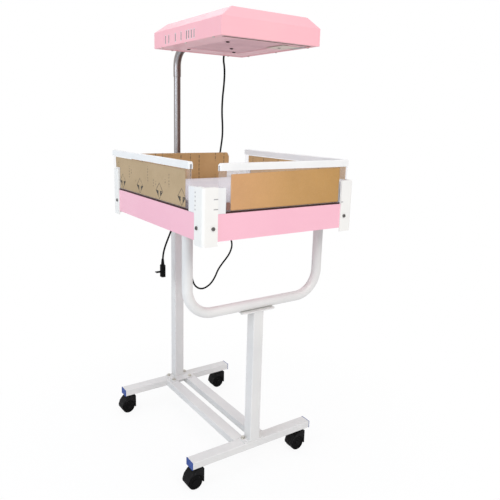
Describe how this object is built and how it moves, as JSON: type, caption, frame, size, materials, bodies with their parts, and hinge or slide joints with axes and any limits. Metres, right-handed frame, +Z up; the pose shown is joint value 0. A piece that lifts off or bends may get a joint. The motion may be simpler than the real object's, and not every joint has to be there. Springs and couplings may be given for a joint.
{
  "type": "infant phototherapy unit",
  "caption": "Wheeled infant phototherapy unit: a bed with lift-out clear sides on a tube stand, under a hooded lamp head on a sliding column.",
  "frame": {"origin": "on the floor, under the middle of the unit", "axes": "+X to the right along the front, -Y to the front, +Z up"},
  "size_m": [0.5464, 0.6932, 1.445],
  "materials": {
    "white_paint": "satin",
    "pink_paint": "satin",
    "panel_beige": "satin",
    "white_plastic": "matte",
    "blue_plastic": "matte",
    "black_plastic": "matte",
    "black_rubber": "matte",
    "bolt_steel": "satin",
    "chrome": "polished",
    "aluminium": "satin",
    "clear_sheet": "clear",
    "frosted": "frosted",
    "lamp_glass": "clear",
    "kraft_paper": "matte",
    "mattress_cover": "matte"
  },
  "bodies": {
    "stand": {"front_foot_bar": "white_paint", "rear_foot_bar": "white_paint", "cross_bar_left": "white_paint", "cross_bar_right": "white_paint", "foot_end_caps": "blue_plastic", "frame_bolts": "bolt_steel", "front_upright": "white_paint", "rear_upright": "white_paint", "u_tube": "white_paint", "bracket_spacers": "white_paint", "deck_frame": "white_paint", "tray_shell": "pink_paint", "post_front_left": "white_paint", "post_front_right": "white_paint", "post_rear_left": "white_paint", "post_rear_right": "white_paint", "post_bolts": "bolt_steel", "mattress": "mattress_cover", "deck_seals": "black_rubber", "column_collar": "black_plastic", "caster_stems": "bolt_steel", "supply_cord": "black_rubber", "mains_plug": "black_rubber"},
    "lamp": {"column_tube": "chrome", "column_guide": "black_plastic", "lamp_arm": "chrome", "lamp_housing": "pink_paint", "lamp_screws": "bolt_steel", "lamp_base_panel": "panel_beige", "light_window": "frosted", "lamp_tubes": "lamp_glass", "tube_holders": "white_plastic", "reflector": "aluminium", "lamp_driver": "black_plastic", "arm_clamp": "aluminium", "cord_gland": "black_plastic"},
    "knob": {"clamp_knob": "black_plastic"},
    "front_panel": {"front_sheet": "clear_sheet", "front_rail": "white_plastic", "front_blocks": "white_plastic", "front_paper": "kraft_paper"},
    "back_panel": {"back_sheet": "clear_sheet", "back_blocks": "white_plastic", "back_paper": "kraft_paper"},
    "left_panel": {"left_sheet": "clear_sheet", "left_rail": "white_plastic", "left_blocks": "white_plastic", "left_paper": "kraft_paper"},
    "right_panel": {"right_sheet": "clear_sheet", "right_rail": "white_plastic", "right_blocks": "white_plastic", "right_paper": "kraft_paper"},
    "caster_front_left_fork": {"caster_front_left": "black_plastic"},
    "caster_front_left_wheels": {"wheels_front_left": "black_plastic"},
    "caster_front_right_fork": {"caster_front_right": "black_plastic"},
    "caster_front_right_wheels": {"wheels_front_right": "black_plastic"},
    "caster_rear_left_fork": {"caster_rear_left": "black_plastic"},
    "caster_rear_left_wheels": {"wheels_rear_left": "black_plastic"},
    "caster_rear_right_fork": {"caster_rear_right": "black_plastic"},
    "caster_rear_right_wheels": {"wheels_rear_right": "black_plastic"}
  },
  "joints": [
    {"name": "column_slide", "type": "slide", "parent": "stand", "child": "lamp", "axis": [0, 0, 1], "range_m": [-0.12, 0.1], "deforming": ["supply_cord"]},
    {"name": "knob_turn", "type": "hinge", "parent": "stand", "child": "knob", "pos_m": [0.03, 0.3266, 0.951], "axis": [1, 0, 0], "continuous": true},
    {"name": "front_panel_lift", "type": "slide", "parent": "stand", "child": "front_panel", "axis": [0, 0, 1], "range_m": [0, 0.06]},
    {"name": "back_panel_lift", "type": "slide", "parent": "stand", "child": "back_panel", "axis": [0, 0, 1], "range_m": [0, 0.06]},
    {"name": "left_panel_lift", "type": "slide", "parent": "stand", "child": "left_panel", "axis": [0, 0, 1], "range_m": [0, 0.06]},
    {"name": "right_panel_lift", "type": "slide", "parent": "stand", "child": "right_panel", "axis": [0, 0, 1], "range_m": [0, 0.06]},
    {"name": "caster_front_left_swivel", "type": "hinge", "parent": "stand", "child": "caster_front_left_fork", "pos_m": [-0.207, -0.2184, 0.06], "axis": [0, 0, 1], "continuous": true},
    {"name": "caster_front_left_roll", "type": "hinge", "parent": "caster_front_left_fork", "child": "caster_front_left_wheels", "pos_m": [-0.225, -0.2184, 0.025], "axis": [0, 1, 0], "continuous": true},
    {"name": "caster_front_right_swivel", "type": "hinge", "parent": "stand", "child": "caster_front_right_fork", "pos_m": [0.207, -0.2184, 0.06], "axis": [0, 0, 1], "continuous": true},
    {"name": "caster_front_right_roll", "type": "hinge", "parent": "caster_front_right_fork", "child": "caster_front_right_wheels", "pos_m": [0.189, -0.2184, 0.025], "axis": [0, 1, 0], "continuous": true},
    {"name": "caster_rear_left_swivel", "type": "hinge", "parent": "stand", "child": "caster_rear_left_fork", "pos_m": [-0.207, 0.3266, 0.06], "axis": [0, 0, 1], "continuous": true},
    {"name": "caster_rear_left_roll", "type": "hinge", "parent": "caster_rear_left_fork", "child": "caster_rear_left_wheels", "pos_m": [-0.225, 0.3266, 0.025], "axis": [0, 1, 0], "continuous": true},
    {"name": "caster_rear_right_swivel", "type": "hinge", "parent": "stand", "child": "caster_rear_right_fork", "pos_m": [0.207, 0.3266, 0.06], "axis": [0, 0, 1], "continuous": true},
    {"name": "caster_rear_right_roll", "type": "hinge", "parent": "caster_rear_right_fork", "child": "caster_rear_right_wheels", "pos_m": [0.189, 0.3266, 0.025], "axis": [0, 1, 0], "continuous": true}
  ]
}
